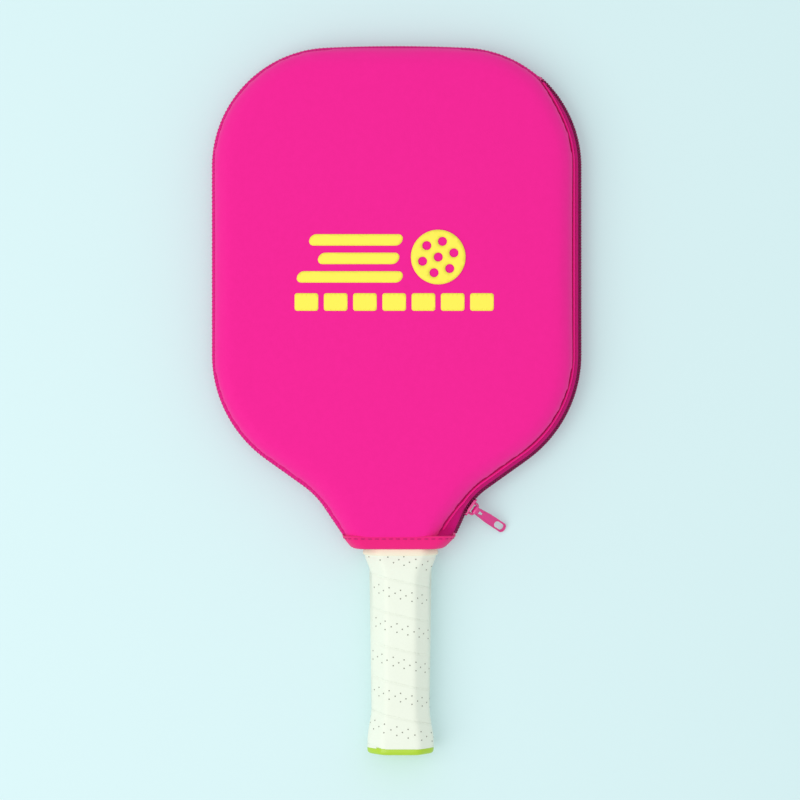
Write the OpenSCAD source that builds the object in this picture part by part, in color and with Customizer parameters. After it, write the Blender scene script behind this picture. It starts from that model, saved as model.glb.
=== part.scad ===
// Soft zipped case with a court paddle inside it, lying on its back.
// +X is the zipped side, +Y the round top end, +Z out of the front.
// The origin is the centre of the flat back face.

/* [Case] */
// Width of the closed case over the seam and the zip
case_w = 211.4; // [206:0.2:216]
// Length from the hem to the top edge
case_l = 288; // [284:0.5:292]
// Thickness over both padded panels
case_t = 27; // [26.5:0.1:28]
// Thickness of one padded panel
wall = 5; // [4:0.1:5]
// Radius of the top corners
corner_r = 68.5; // [64:0.5:72]
// Radius of the nearly flat top edge
top_r = 860; // [700:10:1200]
// Radius of the shoulders above the neck
shoulder_r = 74; // [70:0.5:78]
// Height of the neck hem band
hem_h = 6; // [4:0.5:8]

/* [Zip] */
// Angle on the top corner at which the zip and the fold line end
zip_end_a = 48; // [44:1:52]
// Width of one coil across the chain
coil_w = 1.15; // [0.9:0.05:1.2]
// Length of the slider
slider_l = 11; // [9:0.5:12]
// Length of the pull tab from its pivot
tab_l = 24; // [20:0.5:26]
// Width of the pull tab
tab_w = 5.8; // [5:0.1:6.5]
// Slope of the pull tab as it lies on the table
tab_droop = 30; // [26:1:31]

/* [Paddle] */
// Sideways place of the paddle in the case
paddle_x = 2.6; // [2:0.1:3]
// Thickness of the blade with both faces
blade_t = 16; // [14:0.5:16]
// Thickness of one face sheet
face_t = 1; // [0.6:0.1:1.2]
// Distance of the edge guard from the case's outline
blade_inset = 10; // [10:0.5:14]
// Width of the grip over its wrap
grip_w = 33; // [31:0.5:34]
// Thickness of the grip over its wrap
grip_t = 25.4; // [24:0.2:26]
// Thickness of the grip wrap
wrap_t = 1.8; // [1.4:0.1:2]
// Distance of the butt from the case's centre
butt_y = -261; // [-266:1:-256]

/* [Hidden] */

half_w = case_w / 2;
top_y = case_l / 2;
hem_y = -case_l / 2;
neck_y = hem_y + hem_h;
mid_z = case_t / 2;
seam_d = 4;
seam_z = 4;
roll_d = 12;
flat_d = seam_d + roll_d;
gap = 0.2;
deg_step = 6;

// Arcs of the outline: the centre of the top corner, and the shoulder's sweep
corner_x = half_w - corner_r;
corner_y = top_y - top_r + sqrt(pow(top_r - corner_r, 2) - pow(corner_x, 2));
top_a = asin(corner_x / (top_r - corner_r));
shoulder_y = -33;
shoulder_a = 54.5;
shoulder_x = half_w - shoulder_r;

// Neck: [length of the straight run, radius of the hollow, sweep of the hollow]
neck_zip = [28, 40, 29];
neck_sewn = [26, 50, 18];

// Corners of the hem band: [half-width at its upper edge, at its lower edge]
hem_zip = [33, 27];
hem_sewn = [29.7, 24.8];

// Fold line of the opening front, from the neck to the end of the zip
fold_a = [-12, neck_y];
fold_b = [corner_x + corner_r * cos(zip_end_a), corner_y + corner_r * sin(zip_end_a)];
fold_dir = (fold_b - fold_a) / norm(fold_b - fold_a);
fold_n = [fold_dir.y, -fold_dir.x];
fold_hem = fold_a + fold_dir * (-hem_h / fold_dir.y);

// Slider place: angle on the zipped neck's hollow
slider_a = -34;
slider_d = 0.75;
plate_t = 1;
slider_half_z = 3.2;
bar_r = 0.75;
bar_v = 5.2;
knuckle_r = 1.7;

// A station is [x, y, inward x, inward y, opening of the coils]
function station(x, y, a, open = 0) = [x, y, -cos(a), -sin(a), open];
function arc(cx, cy, r, a0, a1, n) =
    [for (i = [0:n]) let (a = a0 + (a1 - a0) * i / n) station(cx + r * cos(a), cy + r * sin(a), a)];
function run_end(neck) =
    [shoulder_x + shoulder_r * cos(shoulder_a) - neck[0] * sin(shoulder_a),
     shoulder_y - shoulder_r * sin(shoulder_a) - neck[0] * cos(shoulder_a)];
function hollow_centre(neck) = run_end(neck) + neck[1] * [cos(shoulder_a), -sin(shoulder_a)];
function hollow(neck, a) = hollow_centre(neck) - neck[1] * [cos(a), sin(a)];
slider_y = hollow(neck_zip, slider_a).y;
function steps(sweep, step = deg_step) = max(2, ceil(sweep / step));

// The neck from its hem to the shoulder, and the shoulder up to an angle on the corner
function neck_stations(neck, foot) =
    let (a1 = neck[2] - shoulder_a, n = steps(neck[2], 4))
    concat(
        [[foot, neck_y, -1, 0, 1]],
        [for (i = [0:n]) let (a = a1 + (-shoulder_a - a1) * i / n, p = hollow(neck, a))
            station(p.x, p.y, a, max(0, (p.y - slider_y) / (neck_y - slider_y)))]);
function body_stations(from_a, to_a) = concat(
    arc(shoulder_x, shoulder_y, shoulder_r, -shoulder_a, 0, steps(shoulder_a)),
    [for (i = [1:4]) station(half_w, shoulder_y + (corner_y - shoulder_y) * i / 4, 0)],
    [for (s = arc(corner_x, corner_y, corner_r, 0, to_a, steps(to_a))) if (s.y > corner_y + 1) s]);
function flip(st) = [for (i = [len(st) - 1:-1:0]) [-st[i].x, st[i].y, -st[i][2], st[i][3], st[i][4]]];
function head(st) = [for (i = [0:len(st) - 2]) st[i]];

zip_side = concat(neck_stations(neck_zip, hem_zip[0]), body_stations(0, zip_end_a));
top_half = [for (s = arc(corner_x, corner_y, corner_r, zip_end_a, 90 - top_a, 6)) s];
top_edge = arc(0, top_y - top_r, top_r, 90 - top_a, 90 + top_a, 4);
sewn_side = flip(concat(neck_stations(neck_sewn, hem_sewn[0]),
    body_stations(0, 90 - top_a)));
rest_side = concat(head(top_half), head(top_edge), sewn_side);

// The station at the end of the zip runs inward along the fold line
fold_in = -fold_dir / (fold_dir * [cos(zip_end_a), sin(zip_end_a)]);
function at_fold(side) =
    [fold_b.x + side * gap * fold_n.x, fold_b.y + side * gap * fold_n.y, fold_in.x, fold_in.y, 0];
// Towards the fold line the stations lean over, so that their insets don't cross it
lean_from = zip_end_a - 28;
full_lean = atan2(fold_dir.y, fold_dir.x) - zip_end_a;
function leaned(s) = let (a = atan2(-s[3], -s[2]))
    let (lean = s.y > corner_y && a > lean_from ? full_lean * (a - lean_from) / (zip_end_a - lean_from) : 0)
    [s.x, s.y, -cos(a + lean) / cos(lean), -sin(a + lean) / cos(lean), s[4]];
function fold_foot(side) = [fold_a.x + side * gap / fold_n.x, neck_y];
flap_side = concat([for (s = head(zip_side)) s[4] == 1 ? s : leaned(s)], [at_fold(1)]);
fixed_side = concat([at_fold(-1)], [for (i = [1:len(rest_side) - 1]) rest_side[i]]);

// Padded edge in [distance inward, height]: round outside, nearly square inside
roll_n = 5;
outer_roll = [for (i = [0:roll_n]) let (a = 90 * i / roll_n)
    [flat_d - roll_d * cos(a), mid_z + seam_z + (mid_z - seam_z) * sin(a)]];
inner_roll = [[flat_d - 2.5, case_t - wall], [flat_d - 4, case_t - wall - 0.15],
    [flat_d - 5.5, case_t - wall - 0.6], [flat_d - 6.6, case_t - wall - 1.4],
    [flat_d - 7.3, case_t - wall - 2.6], [flat_d - 7.5, mid_z + seam_z]];

function backward(l) = [for (i = [len(l) - 1:-1:0]) l[i]];
function place(s, d, z) = [s.x + d * s[2], s.y + d * s[3], z];
function quad(a, b, c, d) = [[a, b, c], [a, c, d]];
function flat_list(ll) = [for (l = ll) for (e = l) e];
function turned(faces) = [for (f = faces) backward(f)];
function beginning_at(l, first) = [for (i = [0:len(l) - 1]) l[(i + first) % len(l)]];

// End face of a section whose second half runs back along its first half, as a strip of quads
function end_cap(m, base) = flat_list([for (j = [0:m / 2 - 2])
    quad(base + j, base + j + 1, base + m - 2 - j, base + m - 1 - j)]);

// Closed section swept along the stations, with flat ends
module sweep(st, sections) {
    n = len(st);
    m = len(sections[0]);
    points = [for (i = [0:n - 1]) for (p = sections[i]) place(st[i], p[0], p[1])];
    sides = flat_list([for (i = [0:n - 2]) for (j = [0:m - 1])
        let (k = (j + 1) % m)
        quad(i * m + j, i * m + k, (i + 1) * m + k, (i + 1) * m + j)]);
    polyhedron(points, concat(sides, turned(end_cap(m, 0)), end_cap(m, (n - 1) * m)), convexity = 6);
}

// Padded panel: a rolled rim along the stations and a flat middle closed by the extra corners.
// The flat faces fan out from their highest station, which sees all the others.
module padded_panel(st, corners) {
    rim = concat(outer_roll, inner_roll);
    k = len(outer_roll) - 1;
    m = len(rim);
    n = len(st);
    nc = len(corners);
    points = concat(
        [for (s = st) for (p = rim) place(s, p[0], p[1])],
        [for (c = corners) for (z = [case_t, case_t - wall]) [c.x, c.y, z]]);
    top = concat([for (i = [0:n - 1]) i * m + k], [for (c = [0:1:nc - 1]) n * m + 2 * c]);
    low = concat([for (i = [0:n - 1]) i * m + k + 1], [for (c = [0:1:nc - 1]) n * m + 2 * c + 1]);
    w = len(top);
    sides = flat_list([for (i = [0:n - 2]) for (j = [0:m - 1]) if (j != k)
        let (e = (j + 1) % m)
        quad(i * m + j, i * m + e, (i + 1) * m + e, (i + 1) * m + j)]);
    walls = [for (i = [n - 1:w - 1]) let (e = (i + 1) % w) [low[i], top[i], top[e], low[e]]];
    highest_y = max([for (s = st) s.y]);
    peak = [for (i = [0:n - 1]) if (st[i].y == highest_y) i][0];
    flats = [backward(beginning_at(top, peak + 1)), beginning_at(low, peak)];
    polyhedron(points, concat(sides, walls, turned(end_cap(m, 0)), end_cap(m, (n - 1) * m), flats),
        convexity = 10);
}

module upside_down() {
    translate([0, 0, case_t]) mirror([0, 0, 1]) children();
}

module back_panel() {
    color("deeppink") upside_down()
        padded_panel(concat(head(zip_side), rest_side), []);
}

module front_panel() {
    color("hotpink") padded_panel(fixed_side, [fold_foot(-1)]);
}

// Below the slider the flap's padded edge draws back from its tape
draw_back = 4;
function drawn_back(st) = [for (s = st)
    [s.x + draw_back * s[4] * s[2], s.y + draw_back * s[4] * s[3], s[2], s[3], s[4]]];

module front_flap() {
    color("violet") padded_panel(drawn_back(flap_side), [fold_foot(1)]);
}

// Overlocked seam that closes the sewn side between the two panels
module edge_seam() {
    section = [[8, mid_z - 3.9], [3.4, mid_z - 3.9], [0.8, mid_z - 2.4], [0, mid_z - 0.6],
        [0, mid_z + 0.6], [0.8, mid_z + 2.4], [3.4, mid_z + 3.9], [8, mid_z + 3.9]];
    st = [for (i = [1:len(rest_side) - 1]) rest_side[i]];
    color("crimson") sweep(st, [for (s = st) section]);
}

// Hem bands: a folded tape round the raw edge of the neck, drawn across the mouth
hem_out = [[0, mid_z + 3], [0.6, mid_z + 6.5], [2.8, mid_z + 10.6], [5.6, mid_z + 13.2], [9, case_t + 0.4]];
hem_in = [[4, mid_z + 3], [4.1, case_t - wall - 3], [4.9, case_t - wall - 1.3],
    [6.3, case_t - wall - 0.3], [8, case_t - wall]];
function across(section, edge, side) = [for (p = section) [side * (edge - p[0]), p[1]]];
function mirrored_z(section) = [for (p = section) [p[0], min(case_t, max(0, case_t - p[1]))]];

module band(low, high) {
    m = len(low);
    points = concat([for (p = low) [p[0], hem_y, p[1]]], [for (p = high) [p[0], neck_y, p[1]]]);
    sides = flat_list([for (j = [0:m - 1]) let (k = (j + 1) % m) quad(j, k, m + k, m + j)]);
    polyhedron(points, turned(concat(sides, turned(end_cap(m, 0)), end_cap(m, m))), convexity = 8);
}

// One face of a band from the fold outward: the front's over the zipped side, the back's round the rest
function front_line(curve, edge, fold_x) =
    concat([[fold_x, curve == hem_out ? case_t + 0.4 : case_t - wall]], backward(across(curve, edge, 1)));
function back_line(curve, sewn, zipped, fold_x) = concat(
    [[fold_x, curve == hem_out ? case_t + 0.4 : case_t - wall]],
    backward(across(curve, sewn, -1)),
    across(mirrored_z(curve), sewn, -1),
    backward(across(mirrored_z(curve), zipped, 1)));

function front_hem_section(edge, fold_x) =
    concat(front_line(hem_out, edge, fold_x), backward(front_line(hem_in, edge, fold_x)));
function back_hem_section(sewn, zipped, fold_x) = concat(
    back_line(hem_in, sewn, zipped, fold_x), backward(back_line(hem_out, sewn, zipped, fold_x)));

module hem_back() {
    color("mediumvioletred")
        band(back_hem_section(hem_sewn[1], hem_zip[1], fold_hem.x - gap),
             back_hem_section(hem_sewn[0], hem_zip[0], fold_a.x - gap));
}

module hem_front() {
    color("palevioletred")
        band(front_hem_section(hem_zip[1], fold_hem.x + gap),
             front_hem_section(hem_zip[0], fold_a.x + gap));
}

// Zip tape: a sewn flange under the panel's edge and a strip down to the coil
coil_gap = 0.15;
coil_open = 1.7;
function tape_section(open) = let (z = mid_z + coil_gap + coil_w + coil_open * open)
    let (reach = 7 + draw_back * open)
    [[0.4, z], [0.4, mid_z + 3.95], [reach, mid_z + 3.95],
     [reach, mid_z + 3.4], [1.1, mid_z + 3.4], [1.1, z]];

// The coils end a little above the hem, where their stops are
stop_room = 3.6;
coil_foot = let (a = flap_side[0], b = flap_side[1], t = stop_room / norm([b.x - a.x, b.y - a.y]))
    [for (i = [0:4]) a[i] + (i < 2 ? t : i == 4 ? t : 1) * (b[i] - a[i])];
coil_side = concat([coil_foot], [for (i = [1:len(flap_side) - 1]) flap_side[i]]);
function coil_section(open) = let (z = mid_z + coil_gap + coil_open * open)
    [[1.4, z], [0.1, z], [-0.2, z + 0.2], [-0.2, z + coil_w - 0.2],
     [0.1, z + coil_w], [1.4, z + coil_w], [1.7, z + coil_w - 0.2], [1.7, z + 0.2]];

module zip_tape() {
    color("firebrick") sweep(flap_side, [for (s = flap_side) tape_section(s[4])]);
}

module zip_coil() {
    color("purple") sweep(coil_side, [for (s = coil_side) coil_section(s[4])]);
}

module zip_tape_front() { zip_tape(); }
module zip_tape_back() { upside_down() zip_tape(); }
module zip_coil_front() { zip_coil(); }
module zip_coil_back() { upside_down() zip_coil(); }

// Stops: a clip on each coil's lower end, and one bridge past the upper end
stop_l = 2.8;
module top_stop() {
    z = mid_z + coil_gap + coil_open * 0.74;
    slope = atan2(flap_side[1].y - neck_y, flap_side[1].x - hem_zip[0]);
    color("pink") translate([hem_zip[0], neck_y, z - 0.1]) rotate([0, 0, slope])
        translate([0.4, -0.3, 0]) cube([stop_l, 2.2, coil_w + 0.2]);
}

module zip_top_stop_front() { top_stop(); }
module zip_top_stop_back() { upside_down() top_stop(); }

module zip_bottom_stop() {
    a = zip_end_a + 1.6;
    color("pink") translate([corner_x, corner_y, 0]) rotate([0, 0, a])
        translate([corner_r - 1.6, -0.6, mid_z - 1.5]) cube([2.4, 2.6, 3]);
}

// Printed mark: a holed ball with three speed bars beside it and a row of blocks below.
// It is cut at the fold line, so that its last blocks move with the flap.
print_t = 0.3;
ball = [24, 22];
ball_r = 15.5;
hole_ring = 9.2;
hole_r = 2.6;
module mark_layout() {
    difference() {
        translate(ball) circle(ball_r, $fn = 48);
        for (a = [15:60:315]) translate(ball + hole_ring * [cos(a), sin(a)]) circle(hole_r, $fn = 20);
        translate(ball) circle(hole_r, $fn = 20);
    }
    for (bar = [[-57, 3, 7.5], [-45, 1, 18], [-50, 3, 28.5]])
        translate([bar[0], bar[2]]) square([bar[1] - bar[0], 6.5]);
    for (i = [0:6]) translate([16.6 * i - 57.5, -8.5]) square([13.4, 10]);
}

// The plan area on one side of the fold line
module beside_fold(side) {
    far = 200;
    near_a = fold_a + side * gap * fold_n;
    near_b = fold_b + side * gap * fold_n;
    polygon([near_a, near_b, near_b + side * far * fold_n, near_a + side * far * fold_n]);
}

module printed_part(side) {
    color("gold") translate([0, 0, case_t + 0.02]) linear_extrude(print_t) intersection() {
        mark_layout();
        beside_fold(side);
    }
}

module printed_mark() { printed_part(-1); }
module printed_mark_flap() { printed_part(1); }

// Slider frame: u along the chain, v out of the case, w up
slider_at = hollow(neck_zip, slider_a) - slider_d * [cos(slider_a), sin(slider_a)];
module slider_frame() {
    translate([slider_at.x, slider_at.y, mid_z]) rotate([0, 0, slider_a + 90])
        mirror([0, 1, 0]) children();
}

module zip_slider() {
    color("magenta") slider_frame() {
        for (v = [-2.3, 1.7]) translate([-slider_l / 2, v, -slider_half_z])
            cube([slider_l, plate_t, 2 * slider_half_z]);
        translate([-slider_l / 2, -2.3, -0.45]) cube([1.6, 5, 0.9]);
    }
}

// Arched bail on the slider with a round bar for the pull tab
module zip_bail() {
    color("orchid") slider_frame() {
        for (u = [-3.7, 2.7]) translate([u, 2.7, -1]) cube([1, bar_v - 2.7, 2]);
        translate([-3.7, bar_v, 0]) rotate([0, 90, 0]) cylinder(r = bar_r, h = 7.4, $fn = 32);
        for (u = [-3.7, 2.7]) translate([u, bar_v, 0]) rotate([0, 90, 0]) cylinder(r = 1, h = 1, $fn = 32);
    }
}

// Pull tab: a knuckle on the bail's bar, an eye behind it and an oval hole at the far end
tab_t = 1.5;
knuckle_l = 5;
module pull_tab() {
    color("deeppink") slider_frame() translate([0, bar_v, 0]) rotate([-tab_droop, 0, 0])
        difference() {
            union() {
                translate([-knuckle_l / 2, 0, 0]) rotate([0, 90, 0])
                    cylinder(r = knuckle_r, h = knuckle_l, $fn = 32);
                translate([-knuckle_l / 2, 0, -tab_t / 2]) cube([knuckle_l, 5, tab_t]);
                translate([0, 0, -tab_t / 2]) linear_extrude(tab_t)
                    polygon([[-knuckle_l / 2, 4.9], [knuckle_l / 2, 4.9], [tab_w / 2, 8],
                        [tab_w / 2, tab_l - 2], [tab_w / 2 - 2, tab_l],
                        [2 - tab_w / 2, tab_l], [-tab_w / 2, tab_l - 2], [-tab_w / 2, 8]]);
            }
            translate([-knuckle_l, 0, 0]) rotate([0, 90, 0])
                cylinder(r = bar_r + 0.15, h = 2 * knuckle_l, $fn = 32);
            translate([0, 0, -tab_t]) linear_extrude(2 * tab_t) {
                polygon([[-1.1, 3.2], [1.1, 3.2], [0.4, 6.4], [-0.4, 6.4]]);
                for (y = [tab_l - 4.6, tab_l - 3.4]) translate([0, y]) circle(1.6, $fn = 24);
            }
        }
}

// Blade outline at a distance inside the case's outline, with the throat of the paddle
function blade_half(d) = concat(
    [[17.2 - d + blade_inset, neck_y], [20.9 - d + blade_inset, -126], [28.9 - d + blade_inset, -113]],
    [for (s = arc(shoulder_x, shoulder_y, shoulder_r - d, -shoulder_a + 6, 0, 8))
        [s.x - paddle_x, s.y]],
    [for (s = arc(corner_x, corner_y, corner_r - d, 0, 90 - top_a, 14)) [s.x - paddle_x, s.y]]);
function both_halves(half) =
    concat([for (p = half) [p.x + paddle_x, p.y]], [for (p = backward(half)) [paddle_x - p.x, p.y]]);

guard_d = 3;
tang_w = 20;
core_t = blade_t - 2 * face_t;
pallet_y = -153;
cap_y = -244;

module paddle_core() {
    color("khaki") {
        translate([0, 0, mid_z - core_t / 2]) linear_extrude(core_t)
            polygon(both_halves(concat([[tang_w / 2, pallet_y]], blade_half(blade_inset + guard_d))));
        translate([paddle_x - tang_w / 2, cap_y, mid_z - core_t / 2])
            cube([tang_w, pallet_y - cap_y + 0.01, core_t]);
    }
}

module face_sheet() {
    color("ivory") linear_extrude(face_t)
        polygon(both_halves(concat([[13, pallet_y + 3]], blade_half(blade_inset + guard_d))));
}

module paddle_face_front() {
    translate([0, 0, mid_z + core_t / 2]) face_sheet();
}

module paddle_face_back() {
    translate([0, 0, mid_z - core_t / 2 - face_t]) face_sheet();
}

module edge_guard() {
    t = blade_t / 2;
    color("black") difference() {
        union() {
            translate([0, 0, mid_z - t + 1.4]) linear_extrude(2 * t - 2.8)
                polygon(both_halves(blade_half(blade_inset)));
            translate([0, 0, mid_z - t + 0.4]) linear_extrude(2 * t - 0.8)
                polygon(both_halves(blade_half(blade_inset + 1)));
        }
        translate([0, 0, -1]) linear_extrude(case_t)
            polygon(both_halves(concat([[15, pallet_y]], blade_half(blade_inset + guard_d))));
    }
}

function octagon(w, t, c) = [[w / 2, t / 2 - c], [w / 2 - c, t / 2], [c - w / 2, t / 2], [-w / 2, t / 2 - c],
    [-w / 2, c - t / 2], [c - w / 2, -t / 2], [w / 2 - c, -t / 2], [w / 2, c - t / 2]];
facet = 7.9;
bare_w = grip_w - 2 * wrap_t;
bare_t = grip_t - 2 * wrap_t;

// Straight eight-sided bar along the handle, from one place to another
module bar8(w, t, c, from_y, to_y) {
    translate([paddle_x, from_y, mid_z]) rotate([90, 0, 0]) linear_extrude(from_y - to_y)
        polygon(octagon(w, t, c));
}

module pallet() {
    color("burlywood") difference() {
        bar8(bare_w, bare_t, facet - 1, pallet_y, cap_y);
        translate([-50, cap_y - 1, -1]) cube([100, pallet_y - cap_y + 2, mid_z + 1.02]);
        translate([paddle_x - tang_w / 2 - 0.02, cap_y - 1, 0])
            cube([tang_w + 0.04, pallet_y - cap_y + 2, mid_z + core_t / 2 + 0.02]);
    }
}

module handle_pallet_front() { pallet(); }
module handle_pallet_back() { upside_down() pallet(); }

// Handle parts that taper, as [width, thickness, corner cut, place] rings
module taper(rings) {
    points = [for (r = rings) for (p = octagon(r[0], r[1], r[2])) [p[0] + paddle_x, r[3], p[1] + mid_z]];
    n = len(rings);
    sides = flat_list([for (i = [0:n - 2]) for (j = [0:7]) let (k = (j + 1) % 8)
        quad(i * 8 + j, i * 8 + k, (i + 1) * 8 + k, (i + 1) * 8 + j)]);
    ends = [[for (j = [7:-1:0]) j], [for (j = [0:7]) (n - 1) * 8 + j]];
    polyhedron(points, turned(concat(sides, ends)), convexity = 4);
}

collar_y = -145.5;
wrap_y = -160;
wrap_end_y = -257.5;
module grip_wrap() {
    color("linen") difference() {
        taper([[grip_w, grip_t, facet, wrap_end_y + 97.3], [grip_w, grip_t, facet, cap_y + 14],
            [36, 26.4, facet, cap_y], [38, 27, facet, wrap_end_y]]);
        taper([[bare_w, bare_t, facet - 1, wrap_y + 1], [bare_w, bare_t, facet - 1, cap_y],
            [35, 23.4, facet - 0.5, wrap_end_y - 0.1]]);
    }
}

module collar_band() {
    color("peachpuff") difference() {
        taper([[45, 18.4, 5, collar_y], [38.5, 24.4, 7, pallet_y], [34, 26.4, 7.9, wrap_y]]);
        bar8(bare_w, bare_t, facet - 1, pallet_y, wrap_y - 1);
        translate([paddle_x - 19, pallet_y - 0.01, mid_z - blade_t / 2])
            cube([38, collar_y - pallet_y + 1, blade_t]);
    }
}

module butt_cap() {
    color("yellowgreen") taper([[bare_w - 0.1, bare_t - 0.1, facet - 1, cap_y - 0.05],
        [34.8, 23.2, facet - 0.5, wrap_end_y - 0.05], [38, 27, facet, wrap_end_y - 0.1],
        [38, 27, facet, butt_y + 1.5], [36.4, 25.4, facet, butt_y]]);
}

back_panel();
front_panel();
front_flap();
edge_seam();
hem_back();
hem_front();
zip_tape_back();
zip_tape_front();
zip_coil_back();
zip_coil_front();
zip_top_stop_back();
zip_top_stop_front();
zip_bottom_stop();
printed_mark();
printed_mark_flap();
zip_slider();
zip_bail();
pull_tab();
paddle_core();
paddle_face_front();
paddle_face_back();
edge_guard();
handle_pallet_front();
handle_pallet_back();
grip_wrap();
collar_band();
butt_cap();
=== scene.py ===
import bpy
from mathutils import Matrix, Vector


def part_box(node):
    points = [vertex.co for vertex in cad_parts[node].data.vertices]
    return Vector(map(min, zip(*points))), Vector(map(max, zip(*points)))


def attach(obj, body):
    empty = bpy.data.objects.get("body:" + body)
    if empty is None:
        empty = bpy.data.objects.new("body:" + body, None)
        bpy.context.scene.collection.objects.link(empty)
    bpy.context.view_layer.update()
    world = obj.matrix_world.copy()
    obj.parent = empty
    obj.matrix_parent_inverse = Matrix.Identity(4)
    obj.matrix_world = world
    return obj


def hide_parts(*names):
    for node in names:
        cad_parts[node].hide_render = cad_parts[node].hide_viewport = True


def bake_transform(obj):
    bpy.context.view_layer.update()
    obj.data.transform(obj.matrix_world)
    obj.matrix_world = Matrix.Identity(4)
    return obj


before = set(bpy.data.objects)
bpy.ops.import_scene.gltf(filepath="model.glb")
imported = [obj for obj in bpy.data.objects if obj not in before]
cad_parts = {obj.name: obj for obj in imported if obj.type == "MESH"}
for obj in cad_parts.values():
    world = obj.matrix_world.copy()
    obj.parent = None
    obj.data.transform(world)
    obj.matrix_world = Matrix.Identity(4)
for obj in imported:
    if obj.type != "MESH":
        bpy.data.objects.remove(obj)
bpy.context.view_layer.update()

import math
import bmesh
import bpy
import numpy as np
from mathutils import Matrix, Vector

scene = bpy.context.scene
scene.view_settings.view_transform = "Standard"

# ---------------------------------------------------------------------------
# The camera looks straight down on the case as it lies on its back. Its lens is long, so the edges
# of the padding don't fan out, and it frames the whole handle with room all round.
# ---------------------------------------------------------------------------
seam_low, seam_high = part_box("edge_seam")
grip_low, grip_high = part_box("grip_wrap")
butt_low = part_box("butt_cap")[0]
panel_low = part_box("back_panel")[0]
flap_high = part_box("front_flap")[1]
half_width = -seam_low[0]
top_y = seam_high[1]
neck_y = panel_low[1]
front_z = flap_high[2]
mid_z = (seam_low[2] + seam_high[2]) / 2
view_width = 0.459
view_centre = (0.0023, (top_y + butt_low[1]) / 2 - 0.0006)
lens_mm = 100
camera_data = bpy.data.cameras.new("camera")
camera_data.lens = lens_mm
camera_data.sensor_width = 36
camera = bpy.data.objects.new("camera", camera_data)
camera.location = (view_centre[0], view_centre[1], mid_z + view_width * lens_mm / 36)
scene.collection.objects.link(camera)
scene.camera = camera

# ---------------------------------------------------------------------------
# Back of the case: one die-cut sheet of 5 mm foam rubber with a knit jersey laminated to both
# faces. It is cut to the paddle's outline, and its rim is drawn up towards the zip and the seam.
# ---------------------------------------------------------------------------
MM = 0.001
corner_radius = 68.5 * MM
top_radius = 860 * MM
shoulder_radius = 74 * MM
shoulder_start = -33 * MM
shoulder_turn = 54.5
zip_end_angle = 48
slider_angle = -34
# The neck's straight run, the radius of its hollow, the hollow's turn and the half-width at its foot
neck_zipped = (28 * MM, 40 * MM, 29, 33 * MM)
neck_sewn = (26 * MM, 50 * MM, 18, 29.7 * MM)
path_step = 1.5 * MM


def arc(cx, cy, radius, first, last):
    """Points along an arc with the angle of the outward normal, first and last in degrees."""
    count = max(2, math.ceil(radius * abs(math.radians(last - first)) / path_step))
    angles = np.radians(np.linspace(first, last, count + 1))
    return np.stack([cx + radius * np.cos(angles), cy + radius * np.sin(angles), angles], axis=1)


def straight(a, b, first, last):
    """Points along a line whose normals turn from one angle to another."""
    count = max(1, math.ceil(math.dist(a[:2], b[:2]) / path_step))
    line = np.linspace(a[:2], b[:2], count + 1)
    return np.column_stack([line, np.radians(np.linspace(first, last, len(line)))])


def half_outline(neck, corner_to):
    """One side of the case from its hem up to an angle on the top corner."""
    run, hollow, turn, foot = neck
    down = math.radians(shoulder_turn)
    shoulder_x = half_width - shoulder_radius
    bend_x = shoulder_x + shoulder_radius * math.cos(down) - run * math.sin(down)
    bend_y = shoulder_start - shoulder_radius * math.sin(down) - run * math.cos(down)
    hx, hy = bend_x + hollow * math.cos(down), bend_y - hollow * math.sin(down)
    low = math.radians(turn - shoulder_turn)
    low_point = (hx - hollow * math.cos(low), hy - hollow * math.sin(low))
    corner_x = half_width - corner_radius
    rise = math.sqrt((top_radius - corner_radius) ** 2 - corner_x**2)
    corner_y = top_y - top_radius + rise
    inward = arc(0, 0, hollow, turn - shoulder_turn, -shoulder_turn)
    bend = np.column_stack([hx - inward[:, 0], hy - inward[:, 1], inward[:, 2]])
    run_end = (shoulder_x + shoulder_radius * math.cos(down),
               shoulder_start - shoulder_radius * math.sin(down))
    parts = [
        straight((foot, neck_y), low_point, 0, turn - shoulder_turn),
        bend,
        straight((bend_x, bend_y), run_end, -shoulder_turn, -shoulder_turn),
        arc(shoulder_x, shoulder_start, shoulder_radius, -shoulder_turn, 0),
        straight((half_width, shoulder_start), (half_width, corner_y), 0, 0),
        arc(corner_x, corner_y, corner_radius, 0, corner_to),
    ]
    return np.concatenate([parts[0]] + [p[1:] for p in parts[1:]])


def to_path(points):
    """Rows of x, y and the outward normal."""
    return np.column_stack([points[:, :2], np.cos(points[:, 2]), np.sin(points[:, 2])])


corner_x = half_width - corner_radius
top_angle = math.degrees(math.asin(corner_x / (top_radius - corner_radius)))
corner_y = top_y - top_radius + math.sqrt((top_radius - corner_radius) ** 2 - corner_x**2)
zip_path = to_path(half_outline(neck_zipped, zip_end_angle))
corner_rest = to_path(arc(corner_x, corner_y, corner_radius, zip_end_angle, 90 - top_angle))
top_path = to_path(arc(0, top_y - top_radius, top_radius, 90 - top_angle, 90 + top_angle))
sewn_half = to_path(half_outline(neck_sewn, 90 - top_angle))[::-1] * (-1, 1, -1, 1)
sewn_path = np.concatenate([corner_rest, top_path[1:], sewn_half[1:]])
whole_path = np.concatenate([zip_path, sewn_path[1:]])
# The padding runs down into the fold of the hem.
hem_tuck = 2 * MM
padding_path = whole_path.copy()
padding_path[[0, -1], 1] -= hem_tuck

# The case's front folds along a line from the neck to the end of the zip, which is the hinge's axis; here
# only the slider's place on the hollow of the neck is found.
hollow_foot = half_outline(neck_zipped, 0)
lowest_shoulder = -100 * MM
slider_station = int(np.argmin(np.abs(np.degrees(hollow_foot[:, 2]) - slider_angle)
                               + 1000 * (hollow_foot[:, 1] > lowest_shoulder)))
slider_y = hollow_foot[slider_station, 1]


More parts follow.
